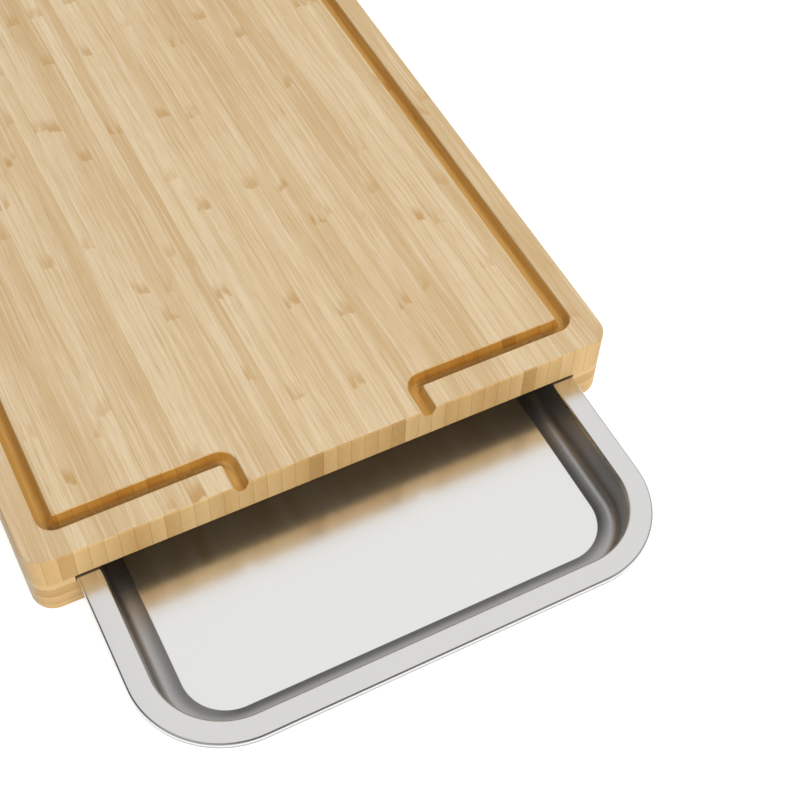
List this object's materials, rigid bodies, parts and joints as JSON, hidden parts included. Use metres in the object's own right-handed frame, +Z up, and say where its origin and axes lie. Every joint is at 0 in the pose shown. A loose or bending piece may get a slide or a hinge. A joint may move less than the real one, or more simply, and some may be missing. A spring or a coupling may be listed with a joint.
{
  "type": "cutting board with drawer tray",
  "caption": "Bamboo cutting board with a juice groove draining over its front edge into a steel tray that slides out from a slot under the slab.",
  "frame": {"origin": "on the bench, in the middle of the footprint of the board and its tray as pulled out at rest", "axes": "+Z up, +X to the right of someone at the drawer's front, +Y from the drawer's front to the board's back; the tray pulls out towards -Y"},
  "size_m": [0.3, 0.507, 0.042],
  "materials": {
    "bamboo_slab": "oiled satin",
    "bamboo_rail": "oiled satin",
    "tray_steel": "satin"
  },
  "bodies": {
    "board": {"stave_01": "bamboo_slab", "stave_02": "bamboo_slab", "stave_03": "bamboo_slab", "stave_04": "bamboo_slab", "stave_05": "bamboo_slab", "stave_06": "bamboo_slab", "stave_07": "bamboo_slab", "stave_08": "bamboo_slab", "stave_09": "bamboo_slab", "stave_10": "bamboo_slab", "stave_11": "bamboo_slab", "stave_12": "bamboo_slab", "stave_13": "bamboo_slab", "stave_14": "bamboo_slab", "stave_15": "bamboo_slab", "stave_16": "bamboo_slab", "stave_17": "bamboo_slab", "stave_18": "bamboo_slab", "stave_19": "bamboo_slab", "stave_20": "bamboo_slab", "stave_21": "bamboo_slab", "stave_22": "bamboo_slab", "stave_23": "bamboo_slab", "stave_24": "bamboo_slab", "stave_25": "bamboo_slab", "stave_26": "bamboo_slab", "stave_27": "bamboo_slab", "stave_28": "bamboo_slab", "stave_29": "bamboo_slab", "stave_30": "bamboo_slab", "stave_31": "bamboo_slab", "stave_32": "bamboo_slab", "stave_33": "bamboo_slab", "stave_34": "bamboo_slab", "stave_35": "bamboo_slab", "stave_36": "bamboo_slab", "stave_37": "bamboo_slab", "stave_38": "bamboo_slab", "stave_39": "bamboo_slab", "stave_40": "bamboo_slab", "stave_41": "bamboo_slab", "stave_42": "bamboo_slab", "left_packer": "bamboo_rail", "left_runner_1": "bamboo_rail", "left_runner_2": "bamboo_rail", "left_runner_3": "bamboo_rail", "right_packer": "bamboo_rail", "right_runner_1": "bamboo_rail", "right_runner_2": "bamboo_rail", "right_runner_3": "bamboo_rail", "rear_packer": "bamboo_rail", "rear_runner_1": "bamboo_rail", "rear_runner_2": "bamboo_rail", "rear_runner_3": "bamboo_rail"},
    "tray": {"tray": "tray_steel"}
  },
  "joints": [
    {"name": "tray_slide", "type": "slide", "parent": "board", "child": "tray", "axis": [0, -1, 0], "range_m": [-0.107, 0.133]}
  ]
}
